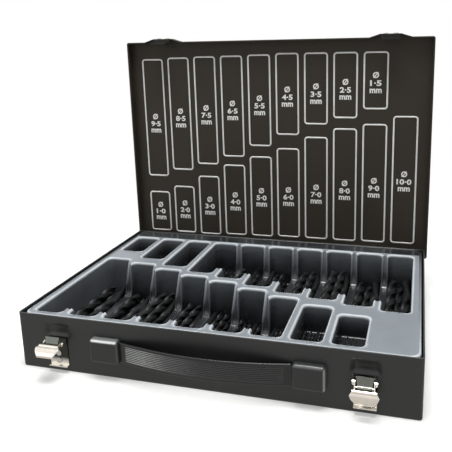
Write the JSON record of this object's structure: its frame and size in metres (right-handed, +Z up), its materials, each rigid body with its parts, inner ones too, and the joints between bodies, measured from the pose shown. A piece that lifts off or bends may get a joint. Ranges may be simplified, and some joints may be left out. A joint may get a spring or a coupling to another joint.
{
  "type": "drill bit case",
  "caption": "Flat sheet steel drill bit case, lid hinged open over a moulded tray of size compartments filled with twist drills, with spring-free toggle latches and a strap handle.",
  "frame": {"origin": "centre of the case's flat underside, on the surface that it rests on", "axes": "+X to the right along the case's width, +Y from the latch front to the hinge back, +Z up"},
  "size_m": [0.356, 0.2729, 0.29],
  "materials": {
    "case_enamel": "dark grey stoved enamel on pressed sheet steel, satin",
    "tray_plastic": "glossy black moulded polystyrene",
    "drill_steel": "black oxide on high-speed steel",
    "latch_chrome": "bright nickel and chrome plate",
    "handle_plastic": "black moulded polyethylene, satin",
    "hinge_zinc": "zinc plated sheet steel",
    "rivet_steel": "bright plated steel"
  },
  "bodies": {
    "case": {"base_shell": "case_enamel", "tray_insert": "tray_plastic", "drills_9_5": "drill_steel", "drills_8_5": "drill_steel", "drills_7_5": "drill_steel", "drills_6_5": "drill_steel", "drills_5_5": "drill_steel", "drills_4_5": "drill_steel", "drills_3_5": "drill_steel", "drills_2_5": "drill_steel", "drills_1_5": "drill_steel", "drills_1_0": "drill_steel", "drills_2_0": "drill_steel", "drills_3_0": "drill_steel", "drills_4_0": "drill_steel", "drills_5_0": "drill_steel", "drills_6_0": "drill_steel", "drills_7_0": "drill_steel", "drills_8_0": "drill_steel", "drills_9_0": "drill_steel", "drills_10_0": "drill_steel", "hinge_base_leaf_left": "hinge_zinc", "hinge_base_leaf_right": "hinge_zinc", "hinge_pin_left": "hinge_zinc", "hinge_pin_right": "hinge_zinc", "hinge_base_rivets": "hinge_zinc", "latch_plate_left": "latch_chrome", "latch_plate_right": "latch_chrome", "latch_studs": "latch_chrome", "latch_rivets": "rivet_steel", "handle_cap_left": "handle_plastic", "handle_cap_right": "handle_plastic", "handle_screws": "rivet_steel"},
    "lid": {"lid_shell": "case_enamel", "hinge_lid_leaf_left": "hinge_zinc", "hinge_lid_leaf_right": "hinge_zinc", "hinge_lid_rivets": "hinge_zinc", "lid_catch_left": "latch_chrome", "lid_catch_right": "latch_chrome", "lid_catch_rivets": "rivet_steel"},
    "lever_left": {"latch_lever_left": "latch_chrome", "latch_hook_pin_left": "latch_chrome"},
    "hook_left": {"latch_hook_left": "latch_chrome"},
    "lever_right": {"latch_lever_right": "latch_chrome", "latch_hook_pin_right": "latch_chrome"},
    "hook_right": {"latch_hook_right": "latch_chrome"},
    "handle": {"handle_strap": "handle_plastic"}
  },
  "joints": [
    {"name": "lid_hinge", "type": "hinge", "parent": "case", "child": "lid", "pos_m": [0, 0.1209, 0.0414], "axis": [1, 0, 0], "range_deg": [0, 90]},
    {"name": "handle_pull", "type": "slide", "parent": "case", "child": "handle", "axis": [0, -1, 0], "range_m": [0, 0.0017]},
    {"name": "latch_lever_left", "type": "hinge", "parent": "case", "child": "lever_left", "pos_m": [-0.136, -0.1249, 0.03], "axis": [-1, 0, 0], "range_deg": [-80, 40]},
    {"name": "latch_hook_left", "type": "hinge", "parent": "lever_left", "child": "hook_left", "pos_m": [-0.136, -0.12854, 0.0279], "axis": [-1, 0, 0], "range_deg": [-32, 64]},
    {"name": "latch_lever_right", "type": "hinge", "parent": "case", "child": "lever_right", "pos_m": [0.132, -0.1249, 0.03], "axis": [-1, 0, 0], "range_deg": [-20, 100]},
    {"name": "latch_hook_right", "type": "hinge", "parent": "lever_right", "child": "hook_right", "pos_m": [0.132, -0.1249, 0.0258], "axis": [-1, 0, 0], "range_deg": [-80, 16]}
  ],
  "couplings": [
    {"joint": "latch_hook_left", "follows": "latch_lever_left", "ratio": -0.8},
    {"joint": "latch_hook_right", "follows": "latch_lever_right", "ratio": -0.8}
  ]
}
